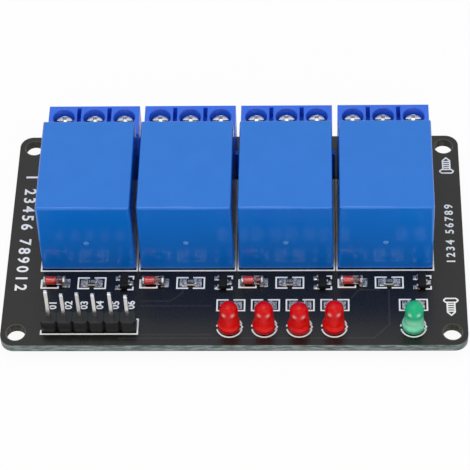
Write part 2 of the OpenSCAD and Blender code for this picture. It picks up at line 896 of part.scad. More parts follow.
pcb();
for (n = [1:channels]) {
    relay_case(n);
    relay_base(n);
    terminal_housing(n);
    channel_led(n);
    flyback_diode(n);
    transistor(n);
}
for (n = [1:clamps]) {
    terminal_screw(n);
    terminal_cage(n);
}
relay_pins();
terminal_contacts();
header_strip();
header_pins();
power_led();
led_leads();
diode_caps();
transistor_leads();
chip_resistors();
resistor_caps();
solder_joints();
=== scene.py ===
"""Looks for the four-channel relay board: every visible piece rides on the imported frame."""

import json
from math import cos, exp, pi, radians, sin

import bmesh
import bpy
from mathutils import Matrix, Vector


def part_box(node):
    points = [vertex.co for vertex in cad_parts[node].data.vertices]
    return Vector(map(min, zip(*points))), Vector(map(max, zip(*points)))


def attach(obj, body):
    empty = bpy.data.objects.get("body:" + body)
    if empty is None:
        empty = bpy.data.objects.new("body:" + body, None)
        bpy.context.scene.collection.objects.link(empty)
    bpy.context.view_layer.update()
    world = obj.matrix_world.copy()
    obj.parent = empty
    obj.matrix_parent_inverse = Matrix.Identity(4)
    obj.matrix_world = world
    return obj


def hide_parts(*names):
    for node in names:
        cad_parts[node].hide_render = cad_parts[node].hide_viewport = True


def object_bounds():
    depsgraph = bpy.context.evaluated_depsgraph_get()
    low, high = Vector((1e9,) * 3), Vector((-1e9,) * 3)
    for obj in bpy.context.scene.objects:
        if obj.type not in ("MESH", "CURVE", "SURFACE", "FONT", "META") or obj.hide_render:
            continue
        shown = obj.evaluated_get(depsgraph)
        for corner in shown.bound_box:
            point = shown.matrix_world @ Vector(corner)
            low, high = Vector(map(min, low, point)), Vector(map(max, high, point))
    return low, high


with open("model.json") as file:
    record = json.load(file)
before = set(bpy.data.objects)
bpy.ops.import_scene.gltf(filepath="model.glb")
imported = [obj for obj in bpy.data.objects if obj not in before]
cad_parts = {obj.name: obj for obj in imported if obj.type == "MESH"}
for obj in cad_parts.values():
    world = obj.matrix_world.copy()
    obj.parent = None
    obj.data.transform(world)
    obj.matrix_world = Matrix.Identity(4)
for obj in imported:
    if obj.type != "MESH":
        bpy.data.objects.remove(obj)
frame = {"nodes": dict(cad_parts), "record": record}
cad_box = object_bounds()

MM = 0.001
CHANNELS = range(1, 5)
CLAMPS = range(1, 13)
UP = Vector((0, 0, 1))
WELD = 2e-6  # points closer than this are one point
FILM = 0.03 * MM  # thickness of printed ink


# ---------------------------------------------------------------- places, read from the frame


def boxes_of(node):
    """The lowest and highest corners of each separate solid of a CAD node, left to right."""
    bm = bmesh.new()
    bm.from_mesh(frame["nodes"][node].data)
    bmesh.ops.remove_doubles(bm, verts=bm.verts, dist=WELD)
    found = []
    left = set(bm.verts)
    while left:
        group = []
        todo = [left.pop()]
        while todo:
            vert = todo.pop()
            group.append(vert.co.copy())
            for edge in vert.link_edges:
                other = edge.other_vert(vert)
                if other in left:
                    left.remove(other)
                    todo.append(other)
        low = Vector(min(p[i] for p in group) for i in range(3))
        high = Vector(max(p[i] for p in group) for i in range(3))
        found.append((low, high))
    bm.free()
    return sorted(found, key=lambda b: (round(b[0].x, 5), b[0].y))


def middle(box):
    """The centre of a box."""
    return (box[0] + box[1]) / 2


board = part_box("pcb")
TOP = board[1].z
relays = {n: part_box(f"relay_case_{n}") for n in CHANNELS}
channel_x = {n: middle(relays[n]).x for n in CHANNELS}
lenses = [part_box(f"channel_led_{n}") for n in CHANNELS] + [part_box("power_led")]
pins = boxes_of("header_pins")
chips = boxes_of("chip_resistors")
chip_caps = boxes_of("resistor_caps")
LENS_LOW, LENS_HIGH = (corner.z / MM for corner in lenses[0])  # in millimetres


# ---------------------------------------------------------------- mesh tools


def finish_piece(name, bm, material, body="board", smooth=35.0, replaced=()):
    """Turns a bmesh into a piece that rides on a body and takes a slot's finish."""
    mesh = bpy.data.meshes.new(name)
    bm.to_mesh(mesh)
    bm.free()
    return finish_mesh(name, mesh, material, body, smooth, replaced)


def finish_mesh(name, mesh, material, body="board", smooth=35.0, replaced=()):
    """Makes a mesh a piece; edges over smooth degrees stay sharp, and 0 leaves flat faces."""
    piece = bpy.data.objects.new(name, mesh)
    bpy.context.scene.collection.objects.link(piece)
    for one in material if isinstance(material, (list, tuple)) else [material]:
        mesh.materials.append(one)
    mesh.polygons.foreach_set("use_smooth", [bool(smooth)] * len(mesh.polygons))
    if smooth:
        mesh.set_sharp_from_angle(angle=radians(smooth))
        flatten = piece.modifiers.new("even_normals", "WEIGHTED_NORMAL")
        flatten.keep_sharp = True
    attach(piece, body)
    if replaced:
        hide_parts(*replaced)
    return piece


def absorb(whole, part):
    """Moves the faces of one bmesh into another."""
    mesh = bpy.data.meshes.new("part")
    part.to_mesh(mesh)
    part.free()
    whole.from_mesh(mesh)
    bpy.data.meshes.remove(mesh)


def welded_copy(*nodes):
    """A copy of CAD nodes whose loose triangles are joined."""
    bm = bmesh.new()
    for node in nodes:
        bm.from_mesh(frame["nodes"][node].data)
    bmesh.ops.remove_doubles(bm, verts=bm.verts, dist=WELD)
    return bm


def clean_copy(*nodes, edge=0.0, segments=2, sharp=30.0, keep=lambda e: True, finish=-1):
    """A welded copy of CAD nodes with whole flat faces and rounded edges."""
    bm = welded_copy(*nodes)
    bmesh.ops.dissolve_limit(bm, angle_limit=radians(0.5), verts=bm.verts, edges=bm.edges)
    if edge:
        round_edges(bm, edge, segments, sharp, keep, finish)
    return bm


def bevel(bm, geom, offset, segments=2, affect="EDGES", finish=-1):
    """Cuts or rounds edges or corners; finish is the material slot of the new faces."""
    bmesh.ops.bevel(
        bm, geom=list(geom), offset=offset, offset_type="OFFSET", segments=segments,
        profile=0.5, affect=affect, clamp_overlap=True, material=finish,
    )


def round_edges(bm, edge, segments=2, sharp=30.0, keep=lambda e: True, finish=-1):
    """Bevels each edge that turns by more than sharp degrees and that keep accepts."""
    limit = radians(sharp)
    chosen = [
        e for e in bm.edges
        if e.is_manifold and abs(e.calc_face_angle_signed(0.0)) > limit and keep(e)
    ]
    bevel(bm, chosen, edge, segments, finish=finish)


def add_block(bm, low, high, edge=0.0, segments=2):
    """A block between two corners, with rounded edges."""
    low, high = Vector(low), Vector(high)
    size = high - low
    made = bmesh.ops.create_cube(bm, size=1.0)["verts"]
    place = Matrix.Translation((low + high) / 2) @ Matrix.Diagonal((*size, 1))
    bmesh.ops.transform(bm, matrix=place, verts=made)
    if edge:
        bevel(bm, {e for v in made for e in v.link_edges}, edge, segments)


def add_turned(bm, profile, centre, axis=UP, steps=32):
    """Spins an outline of (radius, height) points round an axis through centre."""
    axis = Vector(axis)
    side = Vector((1, 0, 0)) if abs(axis.x) < 0.5 else Vector((0, 0, 1))
    centre = Vector(centre)
    verts = [bm.verts.new(centre + side * r + axis * h) for r, h in profile]
    edges = [bm.edges.new(pair) for pair in zip(verts, verts[1:])]
    bmesh.ops.spin(
        bm, geom=verts + edges, cent=centre, axis=axis, dvec=(0, 0, 0),
        angle=2 * pi, steps=steps, use_merge=True, use_duplicate=False,
    )


def close_turned(bm):
    """Welds the poles of spun shapes and turns all faces outwards."""
    bmesh.ops.remove_doubles(bm, verts=bm.verts, dist=WELD)
    bmesh.ops.recalc_face_normals(bm, faces=bm.faces)


def turned_piece(name, outline, centre, axis, steps, material, replaced=()):
    """A piece made of one spun outline."""
    bm = bmesh.new()
    add_turned(bm, outline, centre, axis, steps)
    close_turned(bm)
    finish_piece(name, bm, material, replaced=replaced)


# ---------------------------------------------------------------- material tools


def add_node(tree, kind, settings=None, inputs=None):
    """A shader node, with settings and with numbers or links for its inputs."""
    made = tree.nodes.new("ShaderNode" + kind)
    for key, value in (settings or {}).items():
        setattr(made, key, value)
    for key, value in (inputs or {}).items():
        if isinstance(value, bpy.types.NodeSocket):
            tree.links.new(value, made.inputs[key])
        else:
            made.inputs[key].default_value = value
    return made


def new_material(name, **values):
    """A material whose shader has these plain values; returns it with its tree and shader."""
    material = bpy.data.materials.new(name)
    material.use_nodes = True
    tree = material.node_tree
    shader = tree.nodes["Principled BSDF"]
    for key, value in values.items():
        socket = shader.inputs[key.replace("_", " ").title().replace("Ior", "IOR")]
        socket.default_value = (*value, 1) if isinstance(value, tuple) else value
    return material, tree, shader


def place_of(tree, stretch=(1, 1, 1)):
    """Object coordinates in millimetres, stretched where a pattern has a direction."""
    source = add_node(tree, "TexCoord").outputs["Object"]
    scale = Vector(stretch) / MM
    return add_node(tree, "Mapping", None, {"Vector": source, "Scale": scale}).outputs["Vector"]


def noise(tree, place, scale, detail=3.0, roughness=0.5, distortion=0.0):
    """Cloudy noise, scale times in a millimetre."""
    inputs = {
        "Vector": place, "Scale": scale, "Detail": detail,
        "Roughness": roughness, "Distortion": distortion,
    }
    return add_node(tree, "TexNoise", None, inputs).outputs["Fac"]


def spread(tree, value, low, high, start=0.3, end=0.7):
    """Maps a pattern's middle range onto low to high."""
    inputs = {"Value": value, "From Min": start, "From Max": end, "To Min": low, "To Max": high}
    return add_node(tree, "MapRange", None, inputs).outputs["Result"]


def mix_colour(tree, factor, first, second):
    """A colour between two, by a factor from 0 to 1."""
    made = add_node(tree, "Mix", {"data_type": "RGBA"})
    for index, value in ((0, factor), (6, first), (7, second)):
        if isinstance(value, bpy.types.NodeSocket):
            tree.links.new(value, made.inputs[index])
        else:
            made.inputs[index].default_value = (*value, 1) if isinstance(value, tuple) else value
    return made.outputs[2]


def bump(tree, shader, height, depth):
    """Bump of a real depth in metres."""
    made = add_node(tree, "Bump", None, {"Height": height, "Distance": depth})
    tree.links.new(made.outputs["Normal"], shader.inputs["Normal"])


def moulded(name, colour, shade, rough, grain, depth, cloud=0.25, stretch=(1, 1, 1), **values):
    """A plastic or metal whose colour drifts between two shades, with grain and uneven gloss.

    rough is the range of roughness, grain the number of grains in a millimetre,
    depth their height in metres, and cloud the number of clouds in a millimetre.
    """
    material, tree, shader = new_material(name, **values)
    place = place_of(tree, stretch)
    drift = noise(tree, place, cloud, 4.0, 0.6)
    fine = noise(tree, place, grain, 2.0, 0.6)
    colours = mix_colour(tree, spread(tree, drift, 0.0, 1.0), colour, shade)
    tree.links.new(colours, shader.inputs["Base Color"])
    both = add_node(tree, "Math", {"operation": "MULTIPLY"}, {0: drift, 1: fine}).outputs[0]
    tree.links.new(spread(tree, both, *rough, 0.15, 0.35), shader.inputs["Roughness"])
    bump(tree, shader, fine, depth)
    return material


# ---------------------------------------------------------------- materials

relay_plastic = moulded(
    "relay_blue_satin", (0.004, 0.176, 0.690), (0.003, 0.168, 0.665), (0.13, 0.19),
    grain=7.0, depth=1.2e-6, specular_ior_level=0.5,
)
# A lighter blue on the covers' rounded edges: a painted highlight along each edge.
relay_rim_highlight = moulded(
    "blue_rim_painted_highlight", (0.030, 0.270, 0.860), (0.008, 0.190, 0.720), (0.22, 0.34), 9.0, 4e-6, cloud=0.8
)
gate_plastic = moulded(
    "torn_blue_plastic", (0.13, 0.42, 0.90), (0.05, 0.28, 0.80), (0.3, 0.5), 12.0, 2e-5, cloud=3.0
)
relay_floor = moulded(
    "relay_base_plate", (0.010, 0.060, 0.210), (0.007, 0.048, 0.180), (0.45, 0.6), 9.0, 6e-6
)
terminal_nylon = moulded(
    "terminal_blue_nylon", (0.026, 0.160, 0.850), (0.018, 0.138, 0.790), (0.22, 0.36),
    grain=6.0, depth=5e-6, cloud=0.5, specular_ior_level=0.5,
)
header_nylon = moulded(
    "header_black_nylon", (0.006, 0.006, 0.0065), (0.013, 0.013, 0.014), (0.34, 0.55), 9.0, 9e-6,
    specular_ior_level=0.4,
)
epoxy_black = moulded(
    "moulded_black_epoxy", (0.003, 0.003, 0.0035), (0.008, 0.008, 0.008), (0.42, 0.58), 16.0, 8e-6,
    specular_ior_level=0.22,
)
ceramic = moulded("white_ceramic", (0.78, 0.77, 0.74), (0.66, 0.65, 0.62), (0.3, 0.5), 14.0, 5e-6)
glaze = moulded("black_glaze", (0.018, 0.018, 0.022), (0.03, 0.03, 0.034), (0.18, 0.32), 8.0, 6e-6)
steel = moulded(
    "zinc_plated_steel", (0.72, 0.73, 0.75), (0.60, 0.61, 0.64), (0.16, 0.36), 9.0, 5e-6,
    cloud=1.2, metallic=1.0,
)
cage_steel = moulded(
    "dull_zinc_steel", (0.55, 0.56, 0.58), (0.44, 0.45, 0.48), (0.3, 0.48), 8.0, 6e-6,
    cloud=0.9, stretch=(1, 1, 0.25), metallic=1.0,
)
tin = moulded(
    "bright_tin_plate", (0.82, 0.80, 0.77), (0.70, 0.69, 0.67), (0.22, 0.4), 7.0, 5e-6,
    cloud=1.0, stretch=(1, 1, 0.3), metallic=1.0,
)
brass = moulded(
    "tinned_brass", (0.70, 0.66, 0.55), (0.60, 0.54, 0.40), (0.26, 0.42), 8.0, 5e-6,
    cloud=0.8, metallic=1.0,
)
pin_plate = moulded(
    "drawn_pin_plate", (0.66, 0.65, 0.64), (0.50, 0.49, 0.48), (0.10, 0.24), 6.0, 4e-6,
    cloud=1.0, stretch=(1, 1, 0.25), metallic=1.0,
)
stud_plastic = moulded(
    "red_diode_stud", (0.82, 0.030, 0.018), (0.62, 0.014, 0.010), (0.25, 0.4), 5.0, 1e-5, cloud=1.2
)
whisker_red = moulded(
    "dark_red_whisker", (0.16, 0.004, 0.004), (0.07, 0.002, 0.002), (0.3, 0.45), 5.0, 1e-5, cloud=1.2
)
grey_ink = moulded(
    "grey_chip_print", (0.42, 0.42, 0.42), (0.30, 0.30, 0.30), (0.5, 0.65), 12.0, 4e-6, cloud=1.5
)
white_ink = moulded(
    "white_legend_ink", (0.97, 0.97, 0.96), (0.88, 0.88, 0.87), (0.5, 0.68), 18.0, 6e-6, cloud=1.5
)


def solder_material():
    """Solder that set in ripples, rougher in the hollows, with a painted highlight on the crests and
    painted shade in the hollows.
    """
    material, tree, shader = new_material("wetted_solder", metallic=0.6)
    ripple = noise(tree, place_of(tree), 2.8, 4.0, 0.65, 0.9)
    crest = spread(tree, ripple, 0.0, 1.0, 0.42, 0.6)
    # Painted light: the colour runs from near black in the ripples' hollows to bright on their crests.
    colours = mix_colour(tree, crest, (0.10, 0.10, 0.105), (0.82, 0.82, 0.81))
    tree.links.new(colours, shader.inputs["Base Color"])
    tree.links.new(spread(tree, ripple, 0.5, 0.22), shader.inputs["Roughness"])
    bump(tree, shader, ripple, 7e-5)
    return material


def glass_material():
    """Clear diode glass with a faint red cast."""
    material, tree, shader = new_material(
        "diode_glass", base_color=(1.0, 0.90, 0.88), ior=1.5, transmission_weight=1.0
    )
    smear = noise(tree, place_of(tree), 1.5, 3.0)
    tree.links.new(spread(tree, smear, 0.02, 0.09), shader.inputs["Roughness"])
    bump(tree, shader, smear, 8e-6)
    return material


def mask_material(name, colour, shade):
    """Solder mask: dark lacquer with the weave of the glass cloth just showing through."""
    material, tree, shader = new_material(name, specular_ior_level=0.47)
    place = place_of(tree)
    cloud = noise(tree, place, 0.12, 4.0, 0.6)
    weave = [
        add_node(
            tree, "TexWave", {"wave_type": "BANDS", "bands_direction": way, "wave_profile": "SIN"},
            {"Vector": place, "Scale": 0.55, "Distortion": 1.2, "Detail": 1.5},
        ).outputs["Fac"]
        for way in "XY"
    ]
    cloth = add_node(tree, "Math", {"operation": "MAXIMUM"}, {0: weave[0], 1: weave[1]}).outputs[0]
    dust = noise(tree, place, 7.0, 2.0, 0.7)
    colours = mix_colour(tree, spread(tree, cloud, 0.0, 1.0), colour, shade)
    tree.links.new(colours, shader.inputs["Base Color"])
    tree.links.new(spread(tree, dust, 0.22, 0.34), shader.inputs["Roughness"])
    both = add_node(
        tree, "Math", {"operation": "MULTIPLY_ADD"}, {0: cloth, 1: 0.6, 2: dust}
    ).outputs[0]
    bump(tree, shader, both, 4e-6)
    return material


def glass_epoxy_material(name, light, dark, streak):
    """A routed or drilled wall: layers of glass cloth in resin, torn into pale streaks."""
    material, tree, shader = new_material(name, specular_ior_level=0.4)
    layers = add_node(
        tree, "TexWave", {"wave_type": "BANDS", "bands_direction": "Z", "wave_profile": "SIN"},
        {"Vector": place_of(tree), "Scale": 1.1, "Distortion": 2.5, "Detail": 2.0, "Detail Scale": 2.0},
    ).outputs["Fac"]
    torn = noise(tree, place_of(tree, streak), 1.0, 6.0, 0.7)
    colours = mix_colour(tree, spread(tree, torn, 0.0, 1.0, 0.42, 0.62), dark, light)
    colours = mix_colour(tree, spread(tree, layers, 0.0, 0.35), colours, dark)
    # The wall turns almost black in a thin band next to both faces.
    level = add_node(tree, "SeparateXYZ", None, {"Vector": place_of(tree)}).outputs["Z"]
    half = (board[1].z - board[0].z) / 2 / MM
    away = add_node(tree, "Math", {"operation": "SUBTRACT"}, {0: level, 1: half}).outputs[0]
    depth = add_node(tree, "Math", {"operation": "ABSOLUTE"}, {0: away}).outputs[0]
    lip = spread(tree, depth, 0.0, 1.0, half - 0.14, half - 0.06)
    colours = mix_colour(tree, lip, colours, (0.012, 0.012, 0.012))
    tree.links.new(colours, shader.inputs["Base Color"])
    tree.links.new(spread(tree, torn, 0.75, 0.5), shader.inputs["Roughness"])
    bump(tree, shader, torn, 6e-5)
    return material


def lens_material(name, foot, glow, crown, spot):
    """Tinted diffusing epoxy with painted light: a painted bright band low in the lens, and painted shade
    deeper at foot and crown.

    The attribute painted_frame_glint paints a highlight where the metal frame inside would shine through.
    """
    material, tree, shader = new_material(
        name, roughness=0.2, ior=1.45, transmission_weight=0.15, specular_ior_level=0.16,
        subsurface_weight=0.5, subsurface_scale=0.0012,
    )
    shader.inputs["Subsurface Radius"].default_value = (1.0, 0.35, 0.3)
    place = place_of(tree)
    height = add_node(tree, "SeparateXYZ", None, {"Vector": place}).outputs["Z"]
    # Painted light and shade: by height, the ramp paints a bright band low in the lens and deeper red at
    # foot and crown.
    ramp = add_node(tree, "ValToRGB", None, {0: spread(tree, height, 0.0, 1.0, LENS_LOW, LENS_HIGH)})
    stops = ramp.color_ramp.elements
    stops[0].color = (*foot, 1)
    stops[1].color = (*crown, 1)
    for at, colour in ((0.08, foot), (0.2, glow), (0.42, glow), (0.6, crown)):
        stops.new(at).color = (*colour, 1)
    swirl = noise(tree, place_of(tree, (1, 1, 2.2)), 1.3, 3.0, 0.55, 0.8)
    colours = mix_colour(tree, spread(tree, swirl, 0.0, 0.45), ramp.outputs["Color"], foot)
    # Painted highlight: a pale spot over each frame top.
    shine = add_node(tree, "Attribute", {"attribute_name": "painted_frame_glint"}).outputs["Fac"]
    colours = mix_colour(tree, shine, colours, spot)
    tree.links.new(colours, shader.inputs["Base Color"])
    bump(tree, shader, swirl, 5e-5)
    return material


solder = solder_material()
clear_glass = glass_material()
mask = mask_material("black_solder_mask", (0.0014, 0.0012, 0.0010), (0.0036, 0.0032, 0.0028))
mask_copper = mask_material("mask_over_copper", (0.014, 0.014, 0.014), (0.022, 0.022, 0.0215))
routed_edge = glass_epoxy_material(
    "routed_board_edge", (0.34, 0.40, 0.38), (0.075, 0.105, 0.105), (0.55, 0.55, 3.0)
)
# The same laminate as the routed edge, browner and much darker: painted shade inside the holes.
shaded_drilled_wall = glass_epoxy_material(
    "drilled_wall_painted_shade", (0.070, 0.064, 0.036), (0.012, 0.011, 0.007), (2.0, 2.0, 1.0)
)
bare_rim = moulded(
    "bare_laminate_rim", (0.085, 0.082, 0.06), (0.055, 0.054, 0.042), (0.5, 0.7), 6.0, 8e-6
)
# Each lens gets its foot colour, its painted bright band, its crown colour and its painted highlight
# colour.
red_epoxy = lens_material(
    "red_tinted_epoxy", (0.58, 0.000, 0.002), (1.0, 0.012, 0.008), (0.78, 0.000, 0.002), (1.0, 0.55, 0.50)
)
green_epoxy = lens_material(
    "green_tinted_epoxy", (0.03, 0.50, 0.26), (0.40, 1.0, 0.68), (0.010, 0.56, 0.26), (0.75, 1.0, 0.88)
)


# ---------------------------------------------------------------- circuit board


def make_board():
    """The bare board: mask on both sides, a routed edge, and drilled walls darkened with painted shade.
    """
    bm = welded_copy("pcb")
    play = 0.05 * MM
    centres, radius = mounting_holes()
    for face in bm.faces:
        centre = face.calc_center_median()
        mounting_hole = min((centre.xy - c.xy).length for c in centres) < radius + play
        pin_hole = all(board[0][i] + MM < centre[i] < board[1][i] - MM for i in (0, 1))
        if abs(face.normal.z) > 0.5:
            face.material_index = 0
        else:
            face.material_index = 2 if mounting_hole or pin_hole else 1
    materials = [mask, routed_edge, shaded_drilled_wall]
    finish_piece("board", bm, materials, smooth=0, replaced=["pcb"])


def mounting_holes():
    """The centres of the four mounting holes, from the record."""
    record = frame["record"]
    pattern = next(m for m in record["mounts"] if m["name"] == "mounting_holes")["dims"]
    across, along = pattern["spacing_x_mm"] / 2, pattern["spacing_y_mm"] / 2
    radius = pattern["hole_r_mm"] * MM
    return [Vector((x * across, y * along, 0)) * MM for x in (-1, 1) for y in (-1, 1)], radius


def make_hole_rims():
    """The mask stops short of each mounting hole, so a ring of bare laminate shows."""
    bm = bmesh.new()
    centres, radius = mounting_holes()
    edge, foot = radius + 0.12 * MM, radius + 0.15 * MM
    ring = [(radius, -FILM), (radius, 0), (edge, 0), (foot, -FILM), (radius, -FILM)]
    for centre in centres:
        for level, way in ((TOP, UP), (board[0].z, -UP)):
            at = Vector((centre.x, centre.y, level)) + way * 0.4 * FILM
            add_turned(bm, ring, at, way, 48)
    close_turned(bm)
    finish_piece("mounting_hole_rims", bm, bare_rim)


def ribbon(bm, points, low, high, closed=False):
    """A standing ribbon along a path on the board; Solidify gives it its width."""
    verts = [bm.verts.new((x, y, low)) for x, y in points]
    pairs = list(zip(verts, verts[1:])) + ([(verts[-1], verts[0])] if closed else [])
    edges = [bm.edges.new(pair) for pair in pairs]
    made = bmesh.ops.extrude_edge_only(bm, edges=edges)["geom"]
    risen = [v for v in made if isinstance(v, bmesh.types.BMVert)]
    bmesh.ops.translate(bm, verts=risen, vec=(0, 0, high - low))


def finish_lines(name, bm, width, material):
    """Gives standing ribbons their width, with mitred corners."""
    bmesh.ops.recalc_face_normals(bm, faces=bm.faces)
    piece = finish_piece(name, bm, material, smooth=0)
    thick = piece.modifiers.new("width", "SOLIDIFY")
    thick.thickness = width
    thick.offset = 0.0
    thick.use_even_offset = True


def print_line(bm, points, closed=False):
    """A line of legend ink on top of the board."""
    ribbon(bm, points, TOP, TOP + FILM, closed)


def round_about(place, path):
    """A path in millimetres, moved to lie round a place."""
    return [(place.x + x * MM, place.y + y * MM) for x, y in path]


def arc(centre, radius, start, end, steps):
    """Points along an arc, in degrees from +X."""
    span = [radians(start + (end - start) * i / steps) for i in range(steps + 1)]
    return [(centre.x + radius * cos(a), centre.y + radius * sin(a)) for a in span]


def print_relay_outlines(bm):
    """Three sides of a box round the foot of each relay."""
    reach = 7.87 * MM
    for n in CHANNELS:
        low, high = relays[n]
        front = low.y - 0.3 * MM
        back = high.y + 0.12 * MM
        left, right = channel_x[n] - reach, channel_x[n] + reach
        print_line(bm, [(left, back), (left, front), (right, front), (right, back)])


def print_header_outline(bm):
    """A line in front of the header, up its right side and just round the next corner."""
    low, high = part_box("header_strip")
    left, right = low.x - 0.12 * MM, high.x + 0.2 * MM
    front = low.y - 0.35 * MM
    side = front + 0.8 * MM
    far = high.y + 0.2 * MM
    path = [(left, side), (left, front), (right, front), (right, far), (right - 0.45 * MM, far)]
    print_line(bm, path)


def print_chip_boxes(bm):
    """Two brackets round each chip resistor."""
    across, along, gap = 2.22, 1.09, 0.38
    for chip in chips:
        for side in (-1, 1):
            near, far = side * gap, side * across
            path = [(near, along), (far, along), (far, -along), (near, -along)]
            print_line(bm, round_about(middle(chip), path))


def print_lamp_rings(bm):
    """A broken ring round each lamp, pointed at its flat side."""
    radius = 2.02 * MM
    for lens in lenses:
        c = middle(lens)
        for start, end, steps in ((-168, -12, 24), (16, 42, 6), (166, 178, 4)):
            print_line(bm, arc(c, radius, start, end, steps))
        print_line(bm, round_about(c, [(1.72, 0.62), (2.06, 0.02), (1.72, -0.52)]))


def print_small_marks(bm):
    """Brackets beside the transistors and diodes."""
    for n in CHANNELS:
        c = middle(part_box(f"transistor_{n}"))
        for side in (-1, 1):
            path = [(0.55, side * 1.35), (1.45, side * 1.35), (1.45, side * 0.75)]
            print_line(bm, round_about(c, path))
        d = middle(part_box(f"flyback_diode_{n}"))
        path = [(-2.15, 0.75), (-2.15, -0.98), (0.6, -0.98), (0.6, -0.55)]
        print_line(bm, round_about(d, path))


def print_screw_signs(bm):
    """A little screw beside each right-hand mounting hole, its point towards the hole."""
    hole_x = board[1].x - 2.5 * MM
    upper = Vector((hole_x + 0.33 * MM, board[1].y - 8.5 * MM))
    lower = Vector((hole_x - 0.05 * MM, board[0].y + 9.25 * MM))
    half, thick, cut, side, inner, thread = 1.12, 0.78, 0.3, 0.6, 0.47, 0.46
    head = [
        (cut - half, 0), (half - cut, 0), (half, cut), (half, thick - cut), (half - cut, thick),
        (cut - half, thick), (-half, thick - cut), (-half, cut),
    ]
    foot_of_shank = thick + 0.13
    shank = [(-side, foot_of_shank), (-side, 2.78), (0, 3.4), (side, 2.78), (side, foot_of_shank)]
    threads = [[(-inner, 1.2 + thread * i), (inner, 1.2 + thread * i)] for i in range(4)]
    for foot, way in ((upper, 1), (lower, -1)):
        for path in (head, shank, *threads):
            print_line(bm, round_about(foot, [(x, way * y) for x, y in path]), path is head)


def make_print():
    """All the lines of the white legend."""
    bm = bmesh.new()
    print_relay_outlines(bm)
    print_header_outline(bm)
    print_chip_boxes(bm)
    print_lamp_rings(bm)
    print_small_marks(bm)
    print_screw_signs(bm)
    finish_lines("legend_lines", bm, 0.25 * MM, white_ink)


def print_number(name, text, place, size, turn, gap=1.0, level=TOP, ink=None):
    """A plain number in legend ink, turned by quarter turns."""
    curve = bpy.data.curves.new(name, "FONT")
    curve.body = text
    curve.size = 1.0
    curve.align_x = "CENTER"
    curve.align_y = "CENTER"
    curve.offset = 0.02  # a little bolder than the plain figures
    curve.space_character = gap
    curve.resolution_u = 3
    curve.extrude = 0.5
    holder = bpy.data.objects.new(name + "_curve", curve)
    bpy.context.scene.collection.objects.link(holder)
    bpy.context.view_layer.update()
    mesh = bpy.data.meshes.new_from_object(holder)
    bpy.data.objects.remove(holder)
    spot = Vector((place[0], place[1], level + FILM / 2))
    mesh.transform(
        Matrix.Translation(spot) @ Matrix.Rotation(turn, 4, "Z") @ Matrix.Diagonal((size, size, FILM, 1))
    )
    finish_mesh(name, mesh, ink or white_ink)


def make_numbers():
    """Plain numbers at the header pins and along both side strips."""
    for n, pin in enumerate(pins, 1):
        c = middle(pin)
        spot = (c.x + 0.23 * MM, c.y + 4.3 * MM)
        print_number(f"pin_number_{n}", f"0{n}", spot, 1.7 * MM, pi / 2)
    left = board[0].x + 2.45 * MM
    print_number(
        "left_strip_number", "1 23456 789012", (left, 1.3 * MM), 2.7 * MM, -pi / 2, gap=1.42
    )
    right = board[1].x - 2.1 * MM
    print_number("right_strip_number", "1234 56789", (right, 0.5 * MM), 1.95 * MM, pi / 2, gap=1.38)


# ---------------------------------------------------------------- relays


def make_gate_stubs():
    """The pale broken stub that the runner left in each cover's gate mark."""
    front = Vector((0, -1, 0))
    stub = [(0, 0.12), (0.22, 0.11), (0.38, 0.08), (0.5, 0.03), (0.54, -0.02), (0, -0.02)]
    bm = bmesh.new()
    for n in CHANNELS:
        low, high = relays[n]
        level = low.z + 6.3 * MM
        lean = 0.2 * MM * (level - low.z) / (high.z - low.z)
        foot = Vector((channel_x[n], low.y + lean + 0.15 * MM, level))
        add_turned(bm, [(r * MM, h * MM) for r, h in stub], foot, front, 20)
    close_turned(bm)
    finish_piece("relay_gate_stubs", bm, gate_plastic)


def make_relays():
    """Covers whose rounded edges carry a painted highlight, base plates, gate stubs and pins."""
    for n in CHANNELS:
        rim = relays[n][0].z + 0.5 * MM
        # The rounded edges above the foot take the second slot, the painted highlight.
        bm = clean_copy(
            f"relay_case_{n}", edge=0.14 * MM, segments=3, sharp=40,
            keep=lambda e: max(v.co.z for v in e.verts) > rim, finish=1,
        )
        finish_piece(
            f"relay_cover_{n}", bm, [relay_plastic, relay_rim_highlight], replaced=[f"relay_case_{n}"]
        )
        bm = clean_copy(f"relay_base_{n}", edge=0.06 * MM)
        finish_piece(f"relay_foot_{n}", bm, relay_floor, replaced=[f"relay_base_{n}"])
    make_gate_stubs()
    bm = clean_copy("relay_pins", edge=0.05 * MM)
    finish_piece("relay_contact_pins", bm, tin, replaced=["relay_pins"])


# ---------------------------------------------------------------- screw terminals


def cut_thread(bm, node):
    """Draws the shank in to its core and winds the thread's ridge round it."""
    low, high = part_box(node)
    axis = middle((low, high))
    core, crest, pitch, head_height = 1.06 * MM, 1.28 * MM, 0.45 * MM, 1.6 * MM
    head_foot = high.z - head_height
    start, end = low.z + pitch, head_foot - 0.25 * MM
    for vert in bm.verts:
        away = vert.co.xy - axis.xy
        if vert.co.z < head_foot - 0.01 * MM and away.length > core:
            vert.co.xy = axis.xy + away * core / away.length
    turns = (end - start) / pitch
    sunk = core - 0.02 * MM
    ridge = [(sunk, -0.17), (crest, -0.04), (crest, 0.04), (sunk, 0.17)]
    face = bm.faces.new([bm.verts.new((axis.x + r, axis.y, start + h * MM)) for r, h in ridge])
    steps_in_a_turn = 20
    steps = round(turns * steps_in_a_turn)
    bmesh.ops.spin(
        bm, geom=[face], cent=axis, axis=UP, dvec=(0, 0, (end - start) / steps),
        angle=2 * pi * turns, steps=steps, use_merge=False, use_duplicate=False,
    )
    bmesh.ops.recalc_face_normals(bm, faces=bm.faces)


